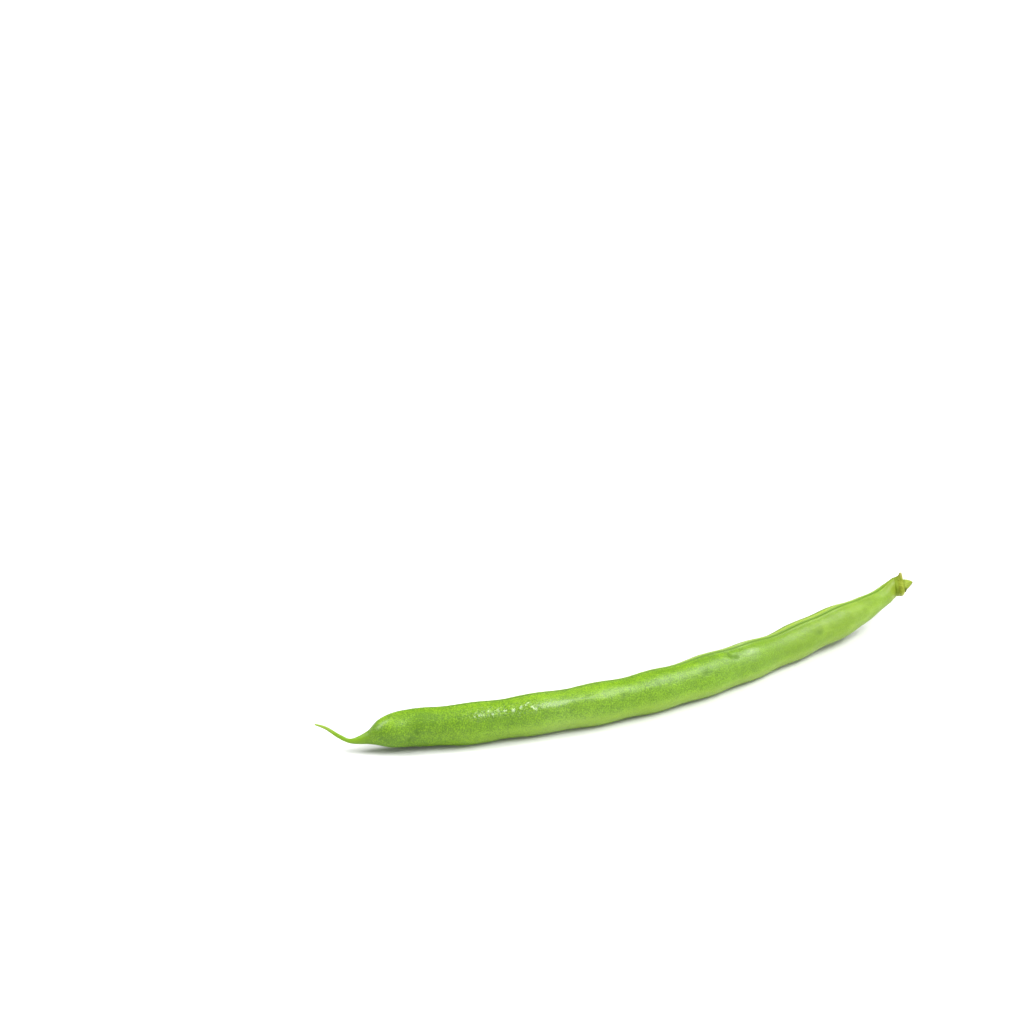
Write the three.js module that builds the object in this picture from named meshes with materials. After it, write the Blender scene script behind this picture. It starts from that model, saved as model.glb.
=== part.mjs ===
// A fresh green bean, lying on a table: its pod with the curled beak, the calyx and the broken stem.
// Millimetres, +Z up, the table at Z = 0. The stem end points to +X and the pod bows towards -Y.

import * as THREE from 'three';

// ---------------------------------------------------------------- driving dimensions

// Stations along the pod, from the beak's tip to the neck. Each row holds the middle line's X and Y,
// the height of the underside above the table, the depth from seam to seam, and the turn of the top
// seam round the pod in degrees, from 0 facing -Y through 90 straight up.
const STATIONS = [
  [-72.7, 12.5, 4.6, 0.4, 115],
  [-71.1, 10.8, 3.9, 0.7, 115],
  [-69.6, 8.0, 2.8, 0.9, 115],
  [-67.7, 6.3, 1.9, 1.1, 115],
  [-64.2, 5.1, 1.4, 2.9, 115],
  [-61.2, 3.3, 0.9, 6.3, 113],
  [-56.2, 2.4, 0.3, 7.6, 109],
  [-46.1, -1.4, 0.0, 8.3, 98],
  [-32.7, -4.6, 0.0, 8.5, 95],
  [-17.3, -7.5, 0.0, 8.7, 96],
  [-1.6, -8.3, 0.0, 8.7, 97],
  [13.9, -7.0, 0.0, 8.8, 90],
  [28.8, -4.3, 0.05, 7.8, 87],
  [42.2, -1.7, 0.6, 7.9, 82],
  [53.4, 0.6, 1.5, 6.7, 89],
  [62.6, 3.6, 2.8, 4.7, 91],
  [69.4, 5.6, 4.1, 4.4, 100],
];

const SEAM_OVALITY = 1.05;      // depth from seam to seam over the width across
const REST_SINK = 0.12;         // how much of the underside is pressed flat against the table

const SEED_PITCH = 13.5;        // distance between two seeds along the pod
const SEED_SWELL = 0.14;        // height of the skin over a seed above the mean surface
const SEED_FIRST = 20;          // where the row of seeds starts, from the beak's tip
const SEED_LAST = 142;          // and where it ends
const SEED_FADE = 10;           // length over which the row fades in and out

const GROOVE_DEPTH = 0.16;      // the top seam's groove
const GROOVE_WIDTH = 0.22;      // half of its width
const LIP_HEIGHT = 0.12;        // the two low lips beside the groove
const LIP_OFFSET = 0.42;        // from the groove to the crest of a lip
const LIP_WIDTH = 0.24;         // half of a lip's width
const UNDER_GROOVE_DEPTH = 0.07;  // the fainter seam on the other side
const UNDER_GROOVE_WIDTH = 0.3;

const GAP = 0.3;                // between two pieces that meet face to face

const STEM_TURN = 50;           // how far the stem end faces towards -Y from the line of the pod, in degrees
const STEM_TURN_START = 0.95;   // where along the pod, from 0 to 1, it begins to turn
const STEM_LIFT = 3;            // how far the stem then bends up from there to its end, in degrees
const COLLAR_LENGTH = 1.6;      // the calyx along the stem
const COLLAR_RADIUS = 2.15;     // at its widest
const COLLAR_NECK_RADIUS = 2.12;  // where it meets the pod
const COLLAR_MOUTH_RADIUS = 1.5;  // where the stem leaves it
const SEPALS = 5;               // sepals that the collar is grown from
const SEPAL_RIPPLE = 0.06;      // how far the collar stands out at each one
// The torn sepals that still stand out of the collar: where each is round it and along it, how far it
// stands out, and half of its width round the collar in degrees and along it in millimetres.
const TORN_SEPALS = [
  { turn: 94, along: 1.25, height: 1.3, spread: 22, length: 0.5 },
  { turn: -30, along: 0.8, height: 0.15, spread: 24, length: 0.5 },
  { turn: 205, along: 1.0, height: 0.25, spread: 20, length: 0.45 },
];

const STUB_LENGTH = 1.25;       // the stem's stub along its middle
const STUB_ROOT_RADIUS = 1.45;
const STUB_END_RADIUS = 0.5;
const BREAK_SLANT = 45;         // how far the broken face tips over forwards, in degrees

// How finely the surfaces are divided.
const RINGS_PER_STATION = 7;
const POD_SIDES = 32;
const SEAM_CROWDING = 0.75;     // 0 spaces the sides evenly, towards 1 gathers them at the two seams
const COLLAR_RINGS = 11;
const COLLAR_SIDES = 32;
const STUB_RINGS = 4;
const STUB_SIDES = 18;

// Finishes.
const POD_SKIN = { color: 0x86b52b, roughness: 0.42, metalness: 0 };
const CALYX_SKIN = { color: 0x8f9a35, roughness: 0.7, metalness: 0 };
const BROKEN_STEM = { color: 0xa8a957, roughness: 0.85, metalness: 0 };

// ---------------------------------------------------------------- the pod's middle line

const UP = new THREE.Vector3(0, 0, 1);

function smoothCurve(points) {
  return new THREE.CatmullRomCurve3(points, false, 'catmullrom', 0.5);
}

const spine = smoothCurve(STATIONS.map(([x, y, rise]) => new THREE.Vector3(x, y, rise)));
const girth = smoothCurve(STATIONS.map(([, , , depth, turn]) => new THREE.Vector3(depth, turn, 0)));

// The line that the middle of the pod follows: half a depth above its underside, less the pressed flat.
function podCentre(t) {
  const centre = spine.getPoint(t);
  const pressed = REST_SINK * Math.exp(-Math.max(centre.z, 0) / REST_SINK);
  centre.z += girth.getPoint(t).x / 2 - pressed;
  return centre;
}

// A cross-section's own axes: forward along the pod, side towards -Y, and rise upwards.
function crossSection(centre, forward) {
  const rise = UP.clone().addScaledVector(forward, -forward.dot(UP)).normalize();
  const side = forward.clone().cross(rise);
  return { centre, forward, rise, side };
}

function podSection(t) {
  const step = 1e-4;
  const before = podCentre(Math.max(t - step, 0));
  const after = podCentre(Math.min(t + step, 1));
  const turned = THREE.MathUtils.degToRad(STEM_TURN) * THREE.MathUtils.smoothstep(t, STEM_TURN_START, 1);
  return crossSection(podCentre(t), after.sub(before).normalize().applyAxisAngle(UP, -turned));
}

// The point of a cross-section at a distance from its middle, turned from the side axis up to rise.
function pointAround(section, radius, turn) {
  return section.centre.clone()
    .addScaledVector(section.side, radius * Math.cos(turn))
    .addScaledVector(section.rise, radius * Math.sin(turn));
}

// ---------------------------------------------------------------- closed solids from rings of points

// Joins rings of points, each the same length and turned the same way, and closes both ends with a fan.
function ringSolid(rings, startTip, endTip) {
  const sides = rings[0].length;
  const points = [...rings.flat(), startTip, endTip];
  const start = points.length - 2;
  const end = points.length - 1;
  const last = (rings.length - 1) * sides;
  const triangles = [];
  for (let j = 0; j < sides; j += 1) {
    const next = (j + 1) % sides;
    triangles.push(start, j, next);
    triangles.push(end, last + next, last + j);
    for (let i = 0; i < last; i += sides) {
      triangles.push(i + j, i + sides + j, i + next);
      triangles.push(i + next, i + sides + j, i + sides + next);
    }
  }
  const geometry = new THREE.BufferGeometry().setFromPoints(points);
  geometry.setIndex(triangles);
  geometry.computeVertexNormals();
  return geometry;
}

function middleOf(ring) {
  return ring.reduce((sum, point) => sum.add(point), new THREE.Vector3()).divideScalar(ring.length);
}

// A low rounded hump, 1 high in the middle and gone at a few half-widths.
function hump(distance, halfWidth) {
  return Math.exp(-((distance / halfWidth) ** 2));
}

// ---------------------------------------------------------------- pod

// The row of seeds lifts the skin in low swellings, one for each pitch.
function seedSwell(along) {
  const fadeIn = THREE.MathUtils.smoothstep(along, SEED_FIRST, SEED_FIRST + SEED_FADE);
  const fadeOut = 1 - THREE.MathUtils.smoothstep(along, SEED_LAST - SEED_FADE, SEED_LAST);
  return SEED_SWELL * fadeIn * fadeOut * Math.cos((2 * Math.PI * (along - SEED_FIRST)) / SEED_PITCH);
}

// Height of the two seams' relief at an angle from the top seam, on a pod of that radius.
function seamRelief(angle, radius) {
  const fromTop = Math.abs(angle) * radius;
  const fromUnder = (Math.PI - Math.abs(angle)) * radius;
  const scale = Math.min(1, radius / 3);
  const lips = LIP_HEIGHT * hump(fromTop - LIP_OFFSET, LIP_WIDTH);
  const groove = GROOVE_DEPTH * hump(fromTop, GROOVE_WIDTH);
  const underGroove = UNDER_GROOVE_DEPTH * hump(fromUnder, UNDER_GROOVE_WIDTH);
  return scale * (lips - groove - underGroove);
}

// Angles from the top seam round the pod and back, closer together at both seams.
function seamAngles() {
  return Array.from({ length: POD_SIDES }, (_, j) => {
    const share = (2 * j) / POD_SIDES;
    return Math.PI * share - (SEAM_CROWDING / 2) * Math.sin(2 * Math.PI * share);
  });
}

function podRing(t, along, angles) {
  const section = podSection(t);
  const { x: depth, y: turnDegrees } = girth.getPoint(t);
  const turn = THREE.MathUtils.degToRad(turnDegrees);
  return angles.map((angle) => {
    const folded = angle > Math.PI ? angle - 2 * Math.PI : angle;
    const oval = (depth / 2) / Math.hypot(Math.cos(folded), SEAM_OVALITY * Math.sin(folded));
    const radius = oval + seedSwell(along) + seamRelief(folded, depth / 2);
    const point = pointAround(section, radius, turn + folded);
    point.z = Math.max(point.z, 0);
    return point;
  });
}

function podGeometry() {
  const angles = seamAngles();
  const count = RINGS_PER_STATION * (STATIONS.length - 1);
  const rings = [];
  let along = 0;
  for (let i = 0; i <= count; i += 1) {
    if (i > 0) {
      along += podCentre(i / count).distanceTo(podCentre((i - 1) / count));
    }
    rings.push(podRing(i / count, along, angles));
  }
  const beak = podSection(0);
  const beakTip = beak.centre.clone().addScaledVector(beak.forward, -STATIONS[0][3] / 2);
  return ringSolid(rings, beakTip, middleOf(rings[count]));
}

// ---------------------------------------------------------------- the line of calyx and stem

const neck = podSection(1);
const STEM_REACH = GAP + COLLAR_LENGTH + GAP + STUB_LENGTH;

// The stem leaves the neck in line with it and bends up evenly to its end.
function stemSection(along) {
  const lift = THREE.MathUtils.degToRad(STEM_LIFT) * (along / STEM_REACH);
  const forward = neck.forward.clone().applyAxisAngle(neck.side, lift);
  const halfway = neck.forward.clone().applyAxisAngle(neck.side, lift / 2);
  return crossSection(neck.centre.clone().addScaledVector(halfway, along), forward);
}

function evenTurns(sides) {
  return Array.from({ length: sides }, (_, j) => (2 * Math.PI * j) / sides);
}

// ---------------------------------------------------------------- calyx

function tornSepal(sepal, along, turn) {
  const away = turn - THREE.MathUtils.degToRad(sepal.turn);
  const around = THREE.MathUtils.euclideanModulo(away + Math.PI, 2 * Math.PI) - Math.PI;
  const spread = THREE.MathUtils.degToRad(sepal.spread);
  return sepal.height * hump(around, spread) * hump(along - sepal.along, sepal.length);
}

// The collar swells from the neck, narrows to its mouth, ripples with its sepals and keeps torn ones.
function collarRadius(along, turn) {
  const share = along / COLLAR_LENGTH;
  const ends = THREE.MathUtils.lerp(COLLAR_NECK_RADIUS, COLLAR_MOUTH_RADIUS, share);
  const swell = (COLLAR_RADIUS - ends) * Math.sin(Math.PI * share);
  const ripple = SEPAL_RIPPLE * Math.cos(SEPALS * (turn - THREE.MathUtils.degToRad(TORN_SEPALS[0].turn)));
  const torn = TORN_SEPALS.reduce((sum, sepal) => sum + tornSepal(sepal, along, turn), 0);
  return ends + swell + ripple + torn;
}

function calyxGeometry() {
  const turns = evenTurns(COLLAR_SIDES);
  const rings = [];
  for (let i = 0; i <= COLLAR_RINGS; i += 1) {
    const along = (COLLAR_LENGTH * i) / COLLAR_RINGS;
    const section = stemSection(GAP + along);
    rings.push(turns.map((turn) => pointAround(section, collarRadius(along, turn), turn)));
  }
  return ringSolid(rings, middleOf(rings[0]), middleOf(rings[COLLAR_RINGS]));
}

// ---------------------------------------------------------------- stem stub

// The stub starts square on the collar and ends in a slanted break, longer above than below.
function stubRing(share, turns) {
  const section = stemSection(GAP + COLLAR_LENGTH + GAP + STUB_LENGTH * share);
  const radius = THREE.MathUtils.lerp(STUB_ROOT_RADIUS, STUB_END_RADIUS, share);
  const slant = share * Math.tan(THREE.MathUtils.degToRad(BREAK_SLANT));
  return turns.map((turn) => (
    pointAround(section, radius, turn).addScaledVector(section.forward, slant * radius * Math.sin(turn))
  ));
}

function stemStubGeometry() {
  const turns = evenTurns(STUB_SIDES);
  const rings = Array.from({ length: STUB_RINGS + 1 }, (_, i) => stubRing(i / STUB_RINGS, turns));
  return ringSolid(rings, middleOf(rings[0]), middleOf(rings[STUB_RINGS]));
}

// ---------------------------------------------------------------- the bean

function piece(name, geometry, finish) {
  const mesh = new THREE.Mesh(geometry, new THREE.MeshStandardMaterial(finish));
  mesh.name = name;
  return mesh;
}

const bean = new THREE.Group();
bean.add(piece('pod', podGeometry(), POD_SKIN));
bean.add(piece('calyx', calyxGeometry(), CALYX_SKIN));
bean.add(piece('stem_stub', stemStubGeometry(), BROKEN_STEM));

export default bean;
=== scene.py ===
import bpy
import numpy as np
from mathutils import Matrix, Vector


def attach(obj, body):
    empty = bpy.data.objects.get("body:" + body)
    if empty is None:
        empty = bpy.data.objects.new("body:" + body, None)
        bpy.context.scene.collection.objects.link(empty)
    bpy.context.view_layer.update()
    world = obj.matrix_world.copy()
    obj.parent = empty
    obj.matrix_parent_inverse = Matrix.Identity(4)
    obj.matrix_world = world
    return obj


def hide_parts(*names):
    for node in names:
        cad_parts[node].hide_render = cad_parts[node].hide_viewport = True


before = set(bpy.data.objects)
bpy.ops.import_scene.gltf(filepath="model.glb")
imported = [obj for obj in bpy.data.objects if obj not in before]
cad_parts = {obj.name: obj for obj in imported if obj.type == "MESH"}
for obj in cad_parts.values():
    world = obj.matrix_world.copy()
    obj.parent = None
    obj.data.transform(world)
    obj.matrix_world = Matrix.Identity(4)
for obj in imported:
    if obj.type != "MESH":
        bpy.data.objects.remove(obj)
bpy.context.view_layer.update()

# ------------------------------------------------------------------------------------------ the pod
# The pod is one fleshy hollow fruit, its halves grown together along a top and an under seam. A row of
# young seeds lifts the skin in low swellings, and the ends narrow to a thin curled beak and a slim neck.
# The skin is finely pebbled and waxy, pressed flat where it lies, and wet with a few drops of water.

MM = 0.001               # all lengths are in mm, down to the last section

# Stations along the pod, from the beak's tip to the neck: the middle line's x and y, the height of
# the underside, the depth from seam to seam, and the turn of the top seam in degrees.
STATIONS = np.array([
    [-72.7, 12.5, 4.6, 0.4, 115],
    [-71.1, 10.8, 3.9, 0.7, 115],
    [-69.6, 8.0, 2.8, 0.9, 115],
    [-67.7, 6.3, 1.9, 1.1, 115],
    [-64.2, 5.1, 1.4, 2.9, 115],
    [-61.2, 3.3, 0.9, 6.3, 113],
    [-56.2, 2.4, 0.3, 7.6, 109],
    [-46.1, -1.4, 0.0, 8.3, 98],
    [-32.7, -4.6, 0.0, 8.5, 95],
    [-17.3, -7.5, 0.0, 8.7, 96],
    [-1.6, -8.3, 0.0, 8.7, 97],
    [13.9, -7.0, 0.0, 8.8, 90],
    [28.8, -4.3, 0.05, 7.8, 87],
    [42.2, -1.7, 0.6, 7.9, 82],
    [53.4, 0.6, 1.5, 6.7, 89],
    [62.6, 3.6, 2.8, 4.7, 91],
    [69.4, 5.6, 4.1, 4.4, 100],
])
SEAM_OVALITY = 1.05      # depth from seam to seam over the width across
REST_SINK = 0.12         # how much of the underside is pressed flat
STEM_TURN = 50           # how far the stem end faces towards -Y from the line of the pod, in degrees
STEM_TURN_START = 0.95   # where along the pod, from 0 to 1, it begins to turn

SEED_PITCH = 13.5        # from one seed to the next
SEED_SWELL = 0.14        # how high a seed lifts the skin, and how far it sinks between two
SEED_FIRST = 20          # where the row of seeds starts, from the beak's tip
SEED_LAST = 142          # and where it ends
SEED_FADE = 10           # over this length the row fades in and out

GROOVE_DEPTH = 0.16      # the top seam
GROOVE_WIDTH = 0.2       # half its width, like the widths below
LIP_HEIGHT = 0.13        # the two lips beside it
LIP_OFFSET = 0.42        # from the groove to a lip's crest
LIP_WIDTH = 0.24
UNDER_GROOVE_DEPTH = 0.07  # the under seam
UNDER_GROOVE_WIDTH = 0.3
FULL_SEAM_RADIUS = 3     # where the pod is thinner, its seams are lower in proportion
NECK_ROUNDING = 0.03     # how much slimmer the neck is at its very end, over the length below
NECK_END = 0.7

SMOOTH_END = 9           # the beak's skin is smooth up to here, from its tip
PEBBLED_START = 18       # and as uneven as the rest of the skin from here on
SEAM_CALM = 0.7          # how much of the unevenness is missing along the top seam
SEAM_CALM_WIDTH = 0.8
# The unevenness in layers, from broad swells to fine pebbles: how high each is, and its grain.
SKIN_LAYERS = [(0.03, 6.0), (0.03, 2.6), (0.010, 1.1), (0.010, (0.5 / 1.5, 0.5, 0.5))]

# Small dents in the skin: how far along the pod and round it from the top seam in degrees (negative
# towards -Y), how deep, how long along the pod and how wide round it.
DENTS = np.array([
    [21.7, -99, 0.12, 0.7, 0.6],
    [19.7, -124, 0.12, 0.8, 0.6],
    [65.2, -60, 0.10, 1.2, 0.9],
    [92.8, -24, 0.17, 0.6, 1.0],
    [94.2, -35, 0.17, 0.8, 0.7],
    [85.0, -56, 0.10, 1.0, 0.8],
    [54.0, -70, 0.07, 2.2, 1.2],
    [119.0, -55, 0.09, 1.8, 1.0],
    [64.0, 60, 0.10, 1.6, 1.0],
    [108.0, 75, 0.12, 1.2, 1.4],
    [38.0, 95, 0.09, 1.4, 1.0],
])
# Drops and trails of water on the skin, given in the same way with their height.
DROPS = np.array([
    [42.8, -46, 0.13, 0.35, 0.32],
    [42.9, -41, 0.13, 0.35, 0.32],
    [43.3, -36, 0.13, 0.40, 0.27],
    [43.9, -35, 0.12, 0.35, 0.27],
    [44.3, -38, 0.10, 0.30, 0.27],
    [44.5, -31, 0.13, 0.40, 0.27],
    [45.0, -29, 0.12, 0.40, 0.25],
    [45.0, -44, 0.12, 0.35, 0.32],
    [45.4, -50, 0.12, 0.35, 0.36],
    [45.8, -57, 0.12, 0.35, 0.36],
    [46.2, -63, 0.10, 0.35, 0.32],
    [41.2, -45, 0.14, 0.50, 0.54],
    [41.0, -54, 0.10, 0.50, 0.36],
    [36.3, -38, 0.13, 0.30, 0.32],
    [33.6, -40, 0.10, 0.30, 0.27],
    [34.2, -52, 0.12, 0.28, 0.41],
    [33.2, -55, 0.12, 0.28, 0.41],
    [32.4, -60, 0.12, 0.28, 0.41],
    [34.0, -64, 0.12, 0.28, 0.36],
    [37.0, -53, 0.12, 0.30, 0.36],
    [38.4, -34, 0.12, 0.30, 0.32],
    [39.6, -44, 0.10, 0.35, 0.32],
    [42.4, -66, 0.10, 0.30, 0.32],
])

POD_RINGS = 750
POD_SIDES = 128
SEAM_CROWDING = 0.55     # 0 spaces the sides evenly, towards 1 gathers them at the two seams


def smooth_curve(points, t):
    """The uniform Catmull-Rom curve through points, at t from 0 to 1. Each stretch is the cubic whose
    slope at a point is half the step between that point's two neighbours; past an end, the last step
    is repeated."""
    points = np.vstack([2 * points[0] - points[1], points, 2 * points[-1] - points[-2]])
    place = np.clip(t, 0, 1) * (len(points) - 3)
    first = np.minimum(place.astype(int), len(points) - 4)
    f = (place - first)[:, None]
    p0, p1, p2, p3 = (points[first + k] for k in range(4))
    leave, arrive = (p2 - p0) / 2, (p3 - p1) / 2
    return ((2 * p1 - 2 * p2 + leave + arrive) * f**3 + (3 * p2 - 3 * p1 - 2 * leave - arrive) * f**2
            + leave * f + p1)


def pod_centre(t):
    """The pod's middle line: half a depth above the underside, less the part pressed flat, which
    fades as the underside rises: sink * exp(-rise / sink)."""
    spine = smooth_curve(STATIONS, t)
    pressed = REST_SINK * np.exp(-np.maximum(spine[:, 2], 0) / REST_SINK)
    return np.column_stack([spine[:, 0], spine[:, 1], spine[:, 2] + spine[:, 3] / 2 - pressed])


def unit(vectors):
    """The vectors at length 1, each divided by its own length."""
    return vectors / np.linalg.norm(vectors, axis=-1, keepdims=True)


def section_axes(forward):
    """A cross-section's side axis, level and towards -Y, and its rise axis, as near to up as it can be."""
    up = np.array([0.0, 0.0, 1.0])
    rise = unit(up - forward * (forward @ up)[..., None])
    return np.cross(forward, rise), rise


def around(centre, side, rise, radius, turn):
    """centre + radius * (side * cos(turn) + rise * sin(turn)), on a grid of rings and turns."""
    return (centre[:, None] + side[:, None] * (radius * np.cos(turn))[..., None]
            + rise[:, None] * (radius * np.sin(turn))[..., None])


def hump(distance, half_width):
    """A low rounded hump, exp(-(distance / half width)^2)."""
    return np.exp(-(distance / half_width) ** 2)


def ease(low, high, value):
    """0 below low, 1 above high, and 3s^2 - 2s^3 between them."""
    s = np.clip((value - low) / (high - low), 0, 1)
    return s * s * (3 - 2 * s)


def pod_forward(t):
    """The way a cross-section faces: along the middle line, and near the neck turned about +Z towards
    -Y, eased up to the stem end's turn."""
    step = 1e-4
    along = unit(pod_centre(np.minimum(t + step, 1)) - pod_centre(np.maximum(t - step, 0)))
    turned = np.radians(STEM_TURN) * ease(STEM_TURN_START, 1, t)
    c, s = np.cos(turned), np.sin(turned)
    return np.column_stack([along[:, 0] * c + along[:, 1] * s, along[:, 1] * c - along[:, 0] * s,
                            along[:, 2]])


def soft_noise(points, grain, seed):
    """Smooth noise from -1 to 1. Each corner of a lattice of cells as large as the grain has its own
    number, the far decimals of a sine, and the eight round a point are blended with eased weights."""
    sine_steps, sine_stretch = np.array([12.9898, 78.233, 37.719]), 43758.5453
    cell = np.floor(points / grain)
    inside = points / grain - cell
    inside = inside * inside * (3 - 2 * inside)
    total = np.zeros(points.shape[:-1])
    for corner in np.ndindex(2, 2, 2):
        number = np.sin((cell + corner) @ sine_steps + seed) * sine_stretch
        share = np.prod(np.where(corner, inside, 1 - inside), axis=-1)
        total += share * (number - np.floor(number))
    return 2 * total - 1


def layered_noise(points, layers, first_seed):
    """The sum over layers of height * soft noise of the layer's grain, each with a seed of its own."""
    return sum(height * soft_noise(points, grain, first_seed + k)
               for k, (height, grain) in enumerate(layers))


def tube_faces(rings, sides):
    """Squares between rings of points, and a fan of triangles to each end ring from its pole. The two
    poles are counted after all the rings."""
    ring, side = np.meshgrid(np.arange(rings - 1), np.arange(sides), indexing="ij")
    here, there = ring * sides + side, ring * sides + (side + 1) % sides
    squares = np.stack([here, here + sides, there + sides, there], axis=-1).reshape(-1, 4)
    first_pole, last = rings * sides, (rings - 1) * sides
    j = np.arange(sides)
    start = np.column_stack([np.full(sides, first_pole), j, (j + 1) % sides])
    end = np.column_stack([np.full(sides, first_pole + 1), last + (j + 1) % sides, last + j])
    return squares.tolist() + start.tolist() + end.tolist()


def make_piece(name, rings, poles, attributes):
    """A smooth closed mesh object at the origin, from rings of points in mm and the two poles that
    close them. An attribute has one number for each point of the rings, then the poles' two."""
    faces = tube_faces(*rings.shape[:2])
    mesh = bpy.data.meshes.new(name)
    mesh.from_pydata(np.vstack([rings.reshape(-1, 3), *poles]) * MM, [], faces)
    for title, (numbers, at_poles) in attributes.items():
        mesh.attributes.new(title, "FLOAT", "POINT").data.foreach_set(
            "value", np.append(numbers, at_poles))
    mesh.polygons.foreach_set("use_smooth", np.ones(len(faces), dtype=bool))
    mesh.update()
    piece = bpy.data.objects.new(name, mesh)
    bpy.context.collection.objects.link(piece)
    return piece


def seam_relief(psi, radius):
    """Two lips beside a groove on the top seam and a faint groove on the under seam, each a hump of
    the distance round the skin, times radius / full radius where the pod is thinner than that."""
    from_top = np.abs(psi) * radius
    from_under = (np.pi - np.abs(psi)) * radius
    return np.minimum(1, radius / FULL_SEAM_RADIUS) * (
        LIP_HEIGHT * hump(from_top - LIP_OFFSET, LIP_WIDTH)
        - GROOVE_DEPTH * hump(from_top, GROOVE_WIDTH)
        - UNDER_GROOVE_DEPTH * hump(from_under, UNDER_GROOVE_WIDTH))


def seed_swell(along):
    """swell * cos(2 pi * distance / pitch), faded in and out at the two ends of the row of seeds."""
    fade_in = ease(SEED_FIRST, SEED_FIRST + SEED_FADE, along)
    fade_out = 1 - ease(SEED_LAST - SEED_FADE, SEED_LAST, along)
    wave = np.cos(2 * np.pi * (along - SEED_FIRST) / SEED_PITCH)
    return SEED_SWELL * (fade_in * fade_out) * wave


def spots(rows, along, psi, radius):
    """The sum over rows of height * the hump of the distance along the pod * the hump of the distance
    round it."""
    total = np.zeros((len(along), psi.size))
    for place, degrees, height, length, width in rows:
        round_it = (psi - np.radians(degrees)) * radius
        total += height * hump(along - place, length) * hump(round_it, width)
    return total


def pod_rings():
    """Rings along the middle line. A ring's radius is an oval, depth / 2 / hypot(cos, ovality * sin) of
    the angle from the top seam, with the seeds, seams, unevenness, dents and drops added, and the skin
    is stopped at the table. The end of the neck draws in under the collar."""
    t = np.linspace(0, 1, POD_RINGS)
    centre, forward = pod_centre(t), pod_forward(t)
    side, rise = section_axes(forward)
    along = np.concatenate([[0], np.cumsum(np.linalg.norm(np.diff(centre, axis=0), axis=1))])[:, None]
    depth, seam_turn = smooth_curve(STATIONS, t)[:, 3:].T
    half_depth = depth[:, None] / 2

    share = 2 * np.arange(POD_SIDES) / POD_SIDES
    angle = np.pi * share - SEAM_CROWDING / 2 * np.sin(2 * np.pi * share)
    psi = np.where(angle > np.pi, angle - 2 * np.pi, angle)[None, :]
    turn = np.radians(seam_turn)[:, None] + psi
    from_seam, from_under = psi * half_depth, (np.pi - np.abs(psi)) * half_depth

    oval = half_depth / np.hypot(np.cos(psi), SEAM_OVALITY * np.sin(psi))
    radius = oval + seed_swell(along) + seam_relief(psi, half_depth)
    mean_skin = around(centre, side, rise, radius, turn)

    body = ease(SMOOTH_END, PEBBLED_START, along)
    off_seam = 1 - SEAM_CALM * hump(from_seam, SEAM_CALM_WIDTH)
    uneven = layered_noise(mean_skin, SKIN_LAYERS, 1)
    dented, dripped = (spots(rows, along, psi, half_depth) for rows in (DENTS, DROPS))
    radius = radius + body * off_seam * uneven - dented + dripped
    radius = radius * (1 - NECK_ROUNDING * ease(along[-1] - NECK_END, along[-1], along))

    skin = around(centre, side, rise, radius, turn)
    skin[..., 2] = np.maximum(skin[..., 2], 0)
    tip = centre[0] - forward[0] * half_depth[0]
    return skin, [tip, skin[-1].mean(axis=0)], {
        "along": (along + 0 * psi, [0, along.max()]), "from_seam": (from_seam, [0, 0]),
        "from_under": (from_under, [0, 0]), "dented": (dented, [0, 0]), "dripped": (dripped, [0, 0])}


pod = make_piece("pod_fine", *pod_rings())
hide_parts("pod")
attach(pod, "root")


class Wire:
    """An output socket. The operators on it add Math nodes, with numbers or other wires."""

    def __init__(self, socket):
        self.socket = socket
        self.tree = socket.id_data

    @staticmethod
    def node(tree, kind, settings=None, inputs=None, output=0):
        """Adds a node of a kind, makes its settings, then fills its inputs with values or wires."""
        made = tree.nodes.new(kind)
        for name, value in (settings or {}).items():
            if name == "stops":
                ramp = made.color_ramp
                while len(ramp.elements) < len(value):
                    ramp.elements.new(0.5)
                for element, (place, colour) in zip(ramp.elements, value):
                    element.position, element.color = place, colour
            else:
                setattr(made, name, value)
        for name, value in (inputs or {}).items():
            if isinstance(value, Wire):
                tree.links.new(value.socket, made.inputs[name])
            else:
                made.inputs[name].default_value = value
        return Wire(made.outputs[output])

    def maths(self, operation, *values):
        return Wire.node(self.tree, "ShaderNodeMath", {"operation": operation}, dict(enumerate(values)))

    def __add__(self, other):
        return self.maths("ADD", self, other)

    def __sub__(self, other):
        return self.maths("SUBTRACT", self, other)

    def __rsub__(self, other):
        return self.maths("SUBTRACT", other, self)

    def __mul__(self, other):
        return self.maths("MULTIPLY", self, other)

    def __truediv__(self, other):
        return self.maths("DIVIDE", self, other)

    __radd__ = __add__
    __rmul__ = __mul__

    def hump(self, middle, half_width):
        """exp(-((value - middle) / half width)^2)."""
        away = (self - middle) / half_width
        return self.maths("EXPONENT", away * away * -1)

    def between(self, low, high):
        """0 at low, 1 at high, eased between; it runs down where low is the larger."""
        limits = {"From Min": min(low, high), "From Max": max(low, high)}
        eased = Wire.node(self.tree, "ShaderNodeMapRange", {"interpolation_type": "SMOOTHSTEP"},
                          {"Value": self, **limits})
        return eased if low < high else 1 - eased


def new_material(piece, name):
    """Gives the piece a material with no nodes yet, and returns its node tree."""
    material = bpy.data.materials.new(name)
    material.use_nodes = True
    material.node_tree.nodes.clear()
    piece.data.materials.append(material)
    return material.node_tree


def attribute(tree, name):
    """The numbers that the piece carries under this name."""
    return Wire.node(tree, "ShaderNodeAttribute", {"attribute_name": name}, output="Fac")


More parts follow.
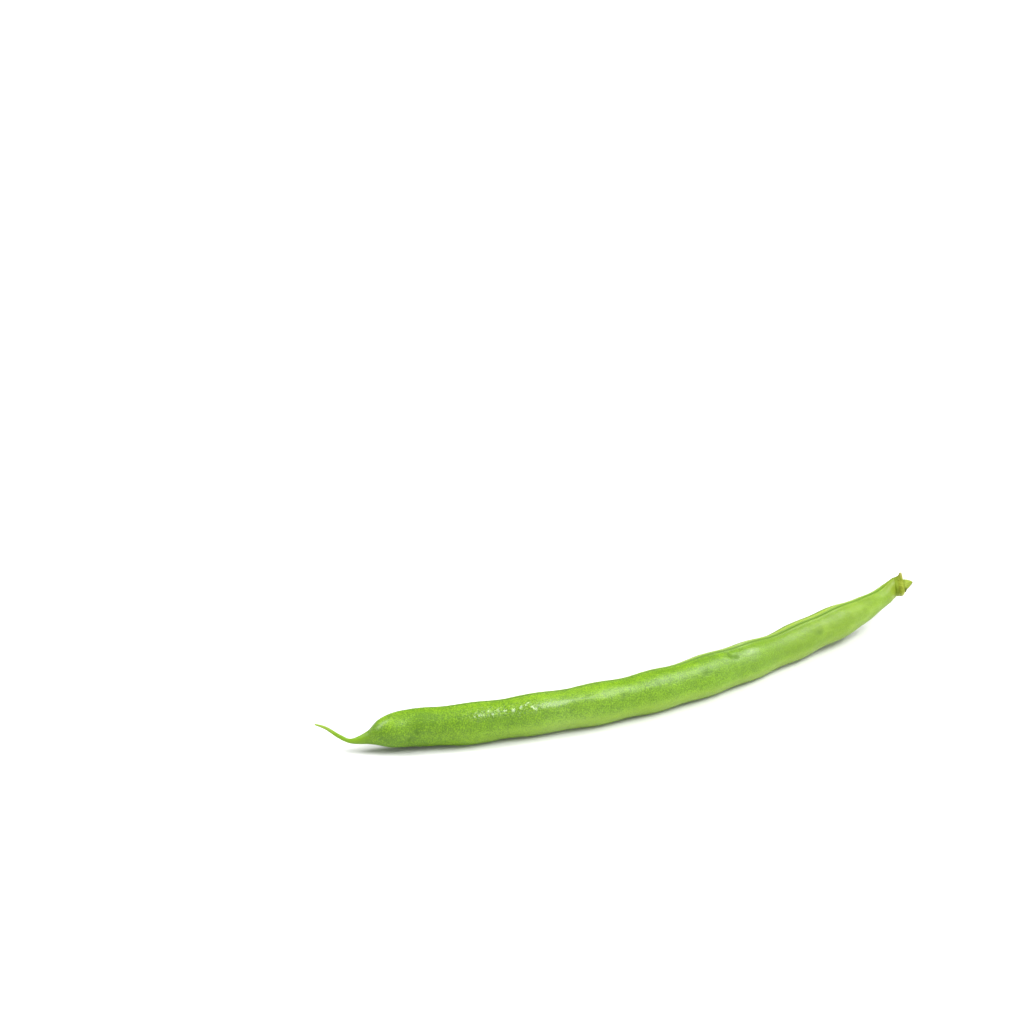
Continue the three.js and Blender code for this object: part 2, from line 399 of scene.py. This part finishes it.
def noise(tree, grains, detail, roughness):
    """Noise on Object coordinates counted in grains, whose size along x, y and z is given in mm."""
    place = Wire.node(tree, "ShaderNodeTexCoord", output="Object")
    counted = Wire.node(tree, "ShaderNodeVectorMath", {"operation": "DIVIDE"},
                        {0: place, 1: tuple(size * MM for size in grains)})
    return Wire.node(tree, "ShaderNodeTexNoise", None,
                     {"Vector": counted, "Scale": 1.0, "Detail": detail, "Roughness": roughness})


def painted(tree, colour, coats):
    """The colour with coats laid over it in turn, each with its share, from 0 to 1, and its colour."""
    for share, coat in coats:
        colour = Wire.node(tree, "ShaderNodeMix", {"data_type": "RGBA"},
                           {0: share, 6: colour, 7: coat}, output=2)
    return colour


def bump(tree, height, depth):
    """Normals of a relief that is depth mm deep where the height runs from 0 to 1."""
    return Wire.node(tree, "ShaderNodeBump", None,
                     {"Height": height, "Strength": 1.0, "Distance": depth * MM})


def surface(tree, varying, constant):
    """The material's one Principled shader, joined to its output."""
    shader = Wire.node(tree, "ShaderNodeBsdfPrincipled", None, {**constant, **varying})
    tree.links.new(shader.socket, tree.nodes.new("ShaderNodeOutputMaterial").inputs["Surface"])


DEEP_GREEN = (0.085, 0.190, 0.003, 1)
LEAF_GREEN = (0.148, 0.296, 0.004, 1)
BRIGHT_GREEN = (0.220, 0.400, 0.008, 1)
YELLOW_GREEN = (0.168, 0.268, 0.006, 1)
PALE_GREEN = (0.26, 0.40, 0.040, 1)
# The dark green of the top seam's groove, also used for the painted shade in dents.
GROOVE_AND_DENT_SHADE_GREEN = (0.065, 0.145, 0.002, 1)
NECK_GROOVE_GREEN = (0.085, 0.19, 0.002, 1)
# The colour of the painted highlight on the top seam's far lip.
LIP_HIGHLIGHT_GREEN = (0.34, 0.48, 0.06, 1)
BEAK_GREEN = (0.190, 0.350, 0.006, 1)
BEAK_TIP_GREEN = (0.28, 0.39, 0.05, 1)
NECK_OLIVE = (0.17, 0.25, 0.006, 1)

# Distances along the pod are from the beak's tip, and those round it are along the skin: from the top
# seam, negative towards -Y, or from the under seam.
tree = new_material(pod, "waxy_pod_skin")
along, from_seam, from_under, dented, dripped = (
    attribute(tree, name) for name in ("along", "from_seam", "from_under", "dented", "dripped"))

# The green is grainy, less so towards the stem, and clouded. Light is painted into it: a painted
# highlight on the shoulder beside the beak, painted light from above along the crest, and painted
# light bounced from the table low on the flank.
grain = noise(tree, (0.22, 0.28, 0.28), 1.0, 0.5) - 0.5
mottle = noise(tree, (1.9, 1.3, 1.3), 2.0, 0.5) - 0.5
patch = noise(tree, (7.0, 3.0, 3.0), 2.0, 0.5) - 0.5
# Painted highlight on the shoulder by the beak (its added gloss in the coat below is real), painted top
# light on the crest, painted table bounce low on the flank.
shoulder_gloss_and_highlight = along.hump(15.5, 3.0) * from_under.between(5.0, 8.0)
crest = from_under.between(9.0, 11.0) * along.between(14, 26) * along.between(85, 45)
painted_low_bounce = from_under.between(7.5, 5.0) * along.between(16, 32)
tone = (0.15 + grain * (2.8 - along.between(60, 110) * 1.2) + mottle * 0.7 + patch * 0.6
        + along.between(10, 55) * 0.2 - along.between(80, 110) * 0.1
        + painted_low_bounce * 0.3 + shoulder_gloss_and_highlight * 0.5 + crest * 0.22)
skin_green = Wire.node(tree, "ShaderNodeValToRGB", {"stops": [
    (0.0, DEEP_GREEN), (0.5, LEAF_GREEN), (1.0, BRIGHT_GREEN)]}, {"Fac": tone}, "Color")

# It yellows towards the stem, with painted pale glints on the neck. A painted highlight lights the top
# seam's far lip beside its dark groove, and the underside is paler but for its own seam, partly its own
# colour and partly painted light bounced from the table. Dents are darkened with painted shade, the
# beak is bright, and the neck ends in olive.
# Painted pale glints on the neck.
painted_neck_glints = (noise(tree, (4.5, 2.2, 2.2), 2.0, 0.45).between(0.42, 0.68)
         * along.between(100, 128) * from_under.between(1.8, 4.2))
groove = from_seam.hump(0, 0.25)
# Painted highlight along the top seam's far lip, stronger towards the stem.
lip = from_seam.hump(0.85, 0.5) * (0.3 + along.between(40, 85) * 0.6)
groove_green = painted(tree, GROOVE_AND_DENT_SHADE_GREEN, [(along.between(90, 120), NECK_GROOVE_GREEN)])
# The underside's own paler colour together with painted light bounced from the table.
underside = from_under.between(6.8, 4.6) * along.between(25, 55) * along.between(140, 118)
skin_colour = painted(tree, skin_green, [
    (along.between(85, 128) * 0.6, YELLOW_GREEN),
    (painted_neck_glints * 0.35, PALE_GREEN),
    (lip, LIP_HIGHLIGHT_GREEN),
    (groove, groove_green),
    (underside * 0.55, PALE_GREEN),
    (from_under.hump(0, 0.3) * 0.4, DEEP_GREEN),
    # painted shade in the dents
    (dented.between(0.03, 0.12) * 0.65, GROOVE_AND_DENT_SHADE_GREEN),
    (along.between(143, 148.5), NECK_OLIVE),
    (along.between(15, 9) * 0.75, BEAK_GREEN),
    (along.between(6, 1) * 0.7, BEAK_TIP_GREEN),
])

# The wax shines unevenly and has been rubbed bright in two places. Water stands on it in drops, with
# a broken film round them.
wax = noise(tree, (1.8, 3.0, 3.0), 3.0, 0.6)
droplets = noise(tree, (0.75, 0.5, 0.5), 2.0, 0.5)
damp = (along.between(28, 36) * along.between(52, 44) * from_seam.between(-5.4, -4.0)
        * from_seam.between(-1.2, -2.2) * droplets.between(0.46, 0.56))
drop = dripped.between(0.02, 0.05)
wet = damp * 0.85 * (1 - drop) + drop
dull = along.between(70, 105) * 0.1 + along.between(40, 25) * 0.08 + dented.between(0.05, 0.12) * 0.3
polished = along.hump(53, 7) * 0.4 + along.hump(98, 2) * from_under.between(7.5, 9.5) * 0.3
shine = wax.between(0.35, 0.65) * 0.12 + shoulder_gloss_and_highlight * 0.45 + polished
surface(tree, {
    "Base Color": skin_colour,
    "Roughness": 0.27 + wax * 0.16 + groove * 0.25 - wet * 0.24 + dull,
    "Coat Weight": (shine + wet * 0.8) * (1 - groove),
    "Normal": bump(tree, grain * (1.1 - drop) + mottle * 0.5 + damp * droplets * 2.4, 0.07),
}, {
    "Subsurface Weight": 0.2, "Subsurface Radius": (0.5, 0.7, 0.1), "Subsurface Scale": MM,
    "Coat Roughness": 0.2, "Specular IOR Level": 0.32,
})

# ---------------------------------------------------------------------------------------- the calyx
# The withered flower cup that the pod grew out of: an olive collar round the end of the neck, grown
# into both the pod and the stem. Its sepals have torn off but for one that stands up as a dry tooth
# and two short rags.

GAP = 0.3                # from the neck's end to the collar, and from the collar's mouth to the stub
STEM_LIFT = 3            # how far the stem bends up from the neck to its end, in degrees
COLLAR_LENGTH = 1.6
COLLAR_RADIUS = 2.15     # halfway along it
COLLAR_NECK_RADIUS = 2.12
COLLAR_MOUTH_RADIUS = 1.5
SEPALS = 5               # that once stood round it
SEPAL_RIPPLE = 0.06      # how far it stands out at each of them
# Torn sepals: where round the collar in degrees and along it, how high, and half their width round it
# in degrees and along it. The first two rows are the tooth and its broader foot.
TORN_SEPALS = np.array([
    [94, 1.45, 0.85, 24, 0.5],
    [94, 1.1, 0.5, 26, 0.8],
    [-30, 0.8, 0.15, 24, 0.5],
    [205, 1.0, 0.25, 20, 0.45],
])
SEPAL_REACH = 1.6        # a torn sepal ends this many half widths away
SEPAL_CURVE = 1.5        # 1 makes it a straight cone, and more rounds its top
STUB_LENGTH = 1.25
STEM_REACH = GAP + COLLAR_LENGTH + GAP + STUB_LENGTH
COLLAR_SINK = 0.9        # how far the collar's root reaches back over the neck
ROOT_SWELL = 0.05        # how far it stands out where the neck ends
ROOT_SWELL_WIDTH = 0.5
ROOT_TAPER = 0.05        # how much slimmer it is at its root, as a share
RIBS = 34
RIB_HEIGHT = 0.03
RIB_WAVER = 3            # how far a rib strays sideways, in radians of its sine
RIB_WAVER_GRAIN = 0.9
WART_LAYERS = [(0.05, 0.5), (0.03, 0.22)]  # how high they are, and their grain
ROUGH_START, ROUGH_FULL = -0.1, 0.4        # where its ribs and warts set in, in collar lengths
COLLAR_RINGS = 90
COLLAR_SIDES = 220

neck_centre = pod_centre(np.array([1.0]))[0]
neck_forward = pod_forward(np.array([1.0]))[0]
neck_rise = section_axes(neck_forward)[1]


def stem_section(reach):
    """The stem leaves the neck in line and bends up evenly: at a distance its line has turned by
    lift * distance / whole reach about the neck's side axis, and its middle lies along the line
    that has turned by half as much."""
    lift = (np.radians(STEM_LIFT) * reach / STEM_REACH)[:, None]
    forward = np.cos(lift) * neck_forward + np.sin(lift) * neck_rise
    halfway = np.cos(lift / 2) * neck_forward + np.sin(lift / 2) * neck_rise
    return neck_centre + halfway * reach[:, None], forward, *section_axes(forward)


def collar_radius(share, turn):
    """From the neck's to the mouth's radius, swollen between them by a sine and rippled once for each
    sepal. Each torn one stands out by height * (1 - (distance / reach)^curve), where the distance is
    counted in its half widths round the collar and along it, and their sum is returned as well."""
    ends = COLLAR_NECK_RADIUS + (COLLAR_MOUTH_RADIUS - COLLAR_NECK_RADIUS) * share
    swell = (COLLAR_RADIUS - ends) * np.sin(np.pi * share)
    ripple = SEPAL_RIPPLE * np.cos(SEPALS * (turn - np.radians(TORN_SEPALS[0, 0])))
    torn = 0 * ripple
    for degrees, place, height, spread, length in TORN_SEPALS:
        away = np.mod(turn - np.radians(degrees) + np.pi, 2 * np.pi) - np.pi
        distance = np.hypot(away / np.radians(spread), (share * COLLAR_LENGTH - place) / length)
        torn = torn + height * (1 - np.minimum(distance / SEPAL_REACH, 1) ** SEPAL_CURVE)
    return ends + swell + ripple + torn, torn


def collar_rings():
    """Rings from the root of the collar, over the end of the neck, along its outside to its mouth, each
    at collar_radius with a low swelling where the neck ends, and with ribs and warts added. The ribs
    are a sine of the turn that strays with a soft noise."""
    share = np.linspace(-COLLAR_SINK / COLLAR_LENGTH, 1.0, COLLAR_RINGS)[:, None]
    turn = 2 * np.pi * np.arange(COLLAR_SIDES)[None, :] / COLLAR_SIDES
    reach = share * COLLAR_LENGTH
    radius, torn = collar_radius(np.clip(share, 0, 1), turn)
    radius = radius + ROOT_SWELL * hump(reach, ROOT_SWELL_WIDTH)
    radius = radius * (1 - ROOT_TAPER + ROOT_TAPER * ease(-COLLAR_SINK, 0, reach))
    centre, forward, side, rise = stem_section((GAP + reach)[:, 0])
    mean_skin = around(centre, side, rise, radius, turn)
    ribs = RIB_HEIGHT * np.sin(RIBS * turn + RIB_WAVER * soft_noise(mean_skin, RIB_WAVER_GRAIN, 11))
    warts = layered_noise(mean_skin, WART_LAYERS, 12)
    rough = (ribs + warts) * ease(ROUGH_START, ROUGH_FULL, share)
    collar = around(centre, side, rise, radius + rough, turn)
    return collar, [collar[0].mean(axis=0), collar[-1].mean(axis=0)], {
        "share": (share + 0 * turn, [0, 1]), "low": (0 * share - np.sin(turn), [0, 0]),
        "torn": (torn, [0, 0])}


calyx = make_piece("calyx_fine", *collar_rings())
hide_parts("calyx")
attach(calyx, "root")

OLIVE = (0.185, 0.235, 0.007, 1)
PALE_OLIVE = (0.26, 0.33, 0.016, 1)
DRY_BROWN = (0.10, 0.105, 0.012, 1)
PALE_BELOW = (0.42, 0.46, 0.15, 1)
TAN = (0.29, 0.27, 0.06, 1)

# Pale fibres and brown stains on olive, fading into the neck's green. It is paler below, in patches,
# and the tooth has dried tan.
tree = new_material(calyx, "withered_calyx")
share, low, torn = (attribute(tree, name) for name in ("share", "low", "torn"))
fibre = noise(tree, (0.9, 0.14, 0.14), 3.0, 0.6)
stain = noise(tree, (0.7, 0.5, 0.5), 3.0, 0.6)
# Paler towards the underside, in patches that follow the stains.
paler_below = low.between(0.25, 0.8) * (0.35 + stain.between(0.3, 0.5) * 0.5)
calyx_colour = painted(tree, OLIVE, [
    (fibre.between(0.35, 0.7), PALE_OLIVE),
    (stain.between(0.5, 0.75) * 0.35, DRY_BROWN),
    ((share + stain * 0.5).between(0.8, 0.1), NECK_OLIVE),
    (paler_below, PALE_BELOW),
    (torn.between(0.25, 1.0) * 0.7, TAN),
])
surface(tree, {
    "Base Color": calyx_colour,
    "Roughness": 0.55 + stain * 0.3,
    "Normal": bump(tree, fibre, 0.06),
}, {
    "Subsurface Weight": 0.08, "Subsurface Radius": (0.4, 0.5, 0.1), "Subsurface Scale": MM,
    "Specular IOR Level": 0.3,
})

# ------------------------------------------------------------------------------------ the stem's stub
# The stalk that the bean hung by, snapped off just past the calyx: a short woody core of long fibres,
# with painted shadow low on both sides where it meets the calyx. Its broken face is slanted and ragged,
# with a darker rim.

STUB_ROOT_RADIUS = 1.45
STUB_END_RADIUS = 0.5
BREAK_SLANT = 45         # how far the broken face tips over forwards, in degrees
STUB_ROOT_SINK = 0.75    # how far the stub's root reaches back into the collar
COARSE_FIBRES, COARSE_HEIGHT = 23, 0.05
FIBRE_BUNDLES, BUNDLE_PULL = 3, 2.0        # the coarse fibres crowd together in bundles
FINE_FIBRES, FINE_HEIGHT, FINE_SHIFT = 41, 0.03, 1.3
FIBRES_FULL = 0.3        # where the fibres stand out fully, in stub lengths from the collar
TORN_LAYERS = [(0.22, 0.45), (0.12, 0.2)]  # the torn fibre ends: how long they are, and their grain
TORN_SETBACK = 0.08      # how far back they are set as a whole
TORN_START = 0.75        # where they begin, counted in the same way
HOLLOW_DEPTH = 0.25      # the sunken middle of the face
HOLLOW_WIDTH = 0.6       # half its width, as a share of the stub's radius
FACE_COVER = 0.97        # how far in the face's rings reach, as a share of the radius
STUB_RINGS = 70
FACE_RINGS = 30
STUB_SIDES = 160


def stub_rings():
    """Rings along the stub's side, from inside the collar to the slanted break, then rings shrinking
    over the broken face to its middle. The slant moves a point on by share * tan(slant) * radius *
    sin(turn). The side carries lengthwise fibres, which are sines of the turn, and the face short torn
    fibre ends, which are layered noise, round a hollow."""
    turn = 2 * np.pi * np.arange(STUB_SIDES)[None, :] / STUB_SIDES
    share = np.linspace(-STUB_ROOT_SINK / STUB_LENGTH, 1, STUB_RINGS)[:, None]
    inward = np.linspace(0, FACE_COVER, FACE_RINGS + 1)[1:, None]
    share_all = np.vstack([share, np.ones_like(inward)])
    shrink = np.vstack([np.ones_like(share), 1 - inward])
    outline = STUB_ROOT_RADIUS + (STUB_END_RADIUS - STUB_ROOT_RADIUS) * np.clip(share_all, 0, 1)
    reach = GAP + COLLAR_LENGTH + GAP + STUB_LENGTH * share_all[:, 0]
    centre, forward, side, rise = stem_section(reach)
    fibres = (COARSE_HEIGHT * np.sin(COARSE_FIBRES * turn + BUNDLE_PULL * np.sin(FIBRE_BUNDLES * turn))
              + FINE_HEIGHT * np.sin(FINE_FIBRES * turn + FINE_SHIFT))
    radius = (outline + fibres * ease(0, FIBRES_FULL, share_all)) * shrink
    mean_skin = around(centre, side, rise, radius, turn)
    slant = np.clip(share_all, 0, 1) * np.tan(np.radians(BREAK_SLANT)) * radius * np.sin(turn)
    torn = layered_noise(mean_skin, TORN_LAYERS, 21) - TORN_SETBACK
    hollow = HOLLOW_DEPTH * hump(shrink, HOLLOW_WIDTH) * (shrink < 1)
    away = slant + (torn - hollow) * ease(TORN_START, 1, share_all)
    stub = mean_skin + forward[:, None] * away[..., None]
    return stub, [stub[0].mean(axis=0), stub[-1].mean(axis=0)], {
        "share": (share_all + 0 * turn, [0, 1]), "inward": ((1 - shrink) + 0 * turn, [0, 1]),
        "low": (0 * share_all - np.sin(turn), [0, 0])}


stem_stub = make_piece("stem_stub_fine", *stub_rings())
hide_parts("stem_stub")
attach(stem_stub, "root")

STRAW = (0.32, 0.40, 0.05, 1)
STRAW_GREEN = (0.21, 0.29, 0.022, 1)
# The darker rim round the broken face, also used for the painted shadow of the gap at the collar's mouth.
DARK_RIM_AND_GAP_SHADE = (0.075, 0.085, 0.012, 1)

# Straw-coloured fibres in green wood, with a darker crumbling rim round the broken face, and painted
# shadow low on both sides, beside the calyx, for the shade in the gap at the collar's mouth.
tree = new_material(stem_stub, "broken_stem")
share, inward, low = (attribute(tree, name) for name in ("share", "inward", "low"))
fibre = noise(tree, (1.2, 0.12, 0.12), 3.0, 0.65)
crumb = noise(tree, (0.25, 0.25, 0.25), 3.0, 0.6)
rim = share.between(0.75, 1.0) * inward.between(0.35, 0.0) * crumb.between(0.3, 0.5)
# Painted shadow of the gap at the collar's mouth, low on both sides.
painted_gap_shadow = share.hump(0.05, 0.28) * low.between(-0.2, 0.2) * low.between(1.0, 0.7)
stub_colour = painted(tree, STRAW_GREEN, [
    (fibre.between(0.35, 0.7), STRAW),
    (rim * 0.9, DARK_RIM_AND_GAP_SHADE),
    (painted_gap_shadow * 0.9, DARK_RIM_AND_GAP_SHADE),
])
surface(tree, {
    "Base Color": stub_colour,
    "Roughness": 0.7 + crumb * 0.2,
    "Normal": bump(tree, fibre * 0.5 + crumb * 0.5, 0.08),
}, {
    "Subsurface Weight": 0.08, "Subsurface Radius": (0.5, 0.5, 0.15), "Subsurface Scale": MM,
    "Specular IOR Level": 0.3,
})

# ------------------------------------------------------------------------- the table, light and camera
# A plain white table top in a white room. A large soft box at the front right draws the long gleam; two
# at the left light the beak's end, and a weak one low at the right the stem's. The camera looks down at
# the bean from the front left. Lengths are in metres here.

TABLE_HALF = 4

table_mesh = bpy.data.meshes.new("table_top")
table_mesh.from_pydata([(-TABLE_HALF, -TABLE_HALF, 0), (TABLE_HALF, -TABLE_HALF, 0),
                        (TABLE_HALF, TABLE_HALF, 0), (-TABLE_HALF, TABLE_HALF, 0)], [], [(0, 1, 2, 3)])
table = bpy.data.objects.new("table_top", table_mesh)
bpy.context.collection.objects.link(table)
surface(new_material(table, "white_table"), {},
        {"Base Color": (0.76, 0.76, 0.76, 1), "Roughness": 0.9, "Specular IOR Level": 0.2})


def soft_box(name, place, length_axis, size, power):
    """A rectangular lamp, its long side as near to the length axis as it can be, facing the bean."""
    back = Vector(place).normalized()
    across = back.cross(Vector(length_axis)).normalized()
    turned = Matrix((across.cross(back), across, back)).transposed()
    lamp = bpy.data.lights.new(name, "AREA")
    lamp.shape, lamp.size, lamp.size_y = "RECTANGLE", *size
    lamp.energy = power
    lamp_object = bpy.data.objects.new(name, lamp)
    lamp_object.location = place
    lamp_object.rotation_euler = turned.to_euler()
    bpy.context.collection.objects.link(lamp_object)


soft_box("back_left", (-0.9, 0.9, 2.1), (1, 0, 0), (1.5, 0.9), 24)
soft_box("left", (-1.85, 0.98, 1.5), (0, 1, 0), (1.2, 1.0), 32)
soft_box("right", (2.0, -1.1, 0.9), (0, 0, 1), (1.2, 1.0), 10)
soft_box("front_right", (1.38, -0.83, 2.0), (0.53, 0.60, -0.15), (2.5, 1.25), 90)

# The room is brighter overhead, and brightest low down on the side towards -Y.
world = bpy.data.worlds.new("white_room")
world.use_nodes = True
background = world.node_tree.nodes["Background"]
direction = Wire.node(world.node_tree, "ShaderNodeTexCoord", output="Generated")
back, height = (Wire.node(world.node_tree, "ShaderNodeSeparateXYZ", None, {0: direction}, axis)
                for axis in ("Y", "Z"))
overhead = height.between(0.3, 0.95)
low_front = back.between(0.1, -0.8) * height.between(0.75, 0.2)
brightness = 0.12 + overhead * 0.5 + low_front * 1.15
world.node_tree.links.new(brightness.socket, background.inputs["Strength"])
background.inputs["Color"].default_value = (1, 1, 1, 1)
bpy.context.scene.world = world
bpy.context.scene.view_settings.view_transform = "Standard"

CAMERA_PLACE = (-0.30220, -0.45404, 0.26068)
CAMERA_TILT = np.radians(68.0)       # from straight down
CAMERA_TURN = np.radians(-30.594)    # from facing +Y
camera = bpy.data.cameras.new("camera")
camera.lens, camera.sensor_width = 100, 36
camera.clip_start = 0.01
camera_object = bpy.data.objects.new("camera", camera)
camera_object.location = CAMERA_PLACE
camera_object.rotation_euler = (CAMERA_TILT, 0, CAMERA_TURN)
bpy.context.collection.objects.link(camera_object)
bpy.context.scene.camera = camera_object
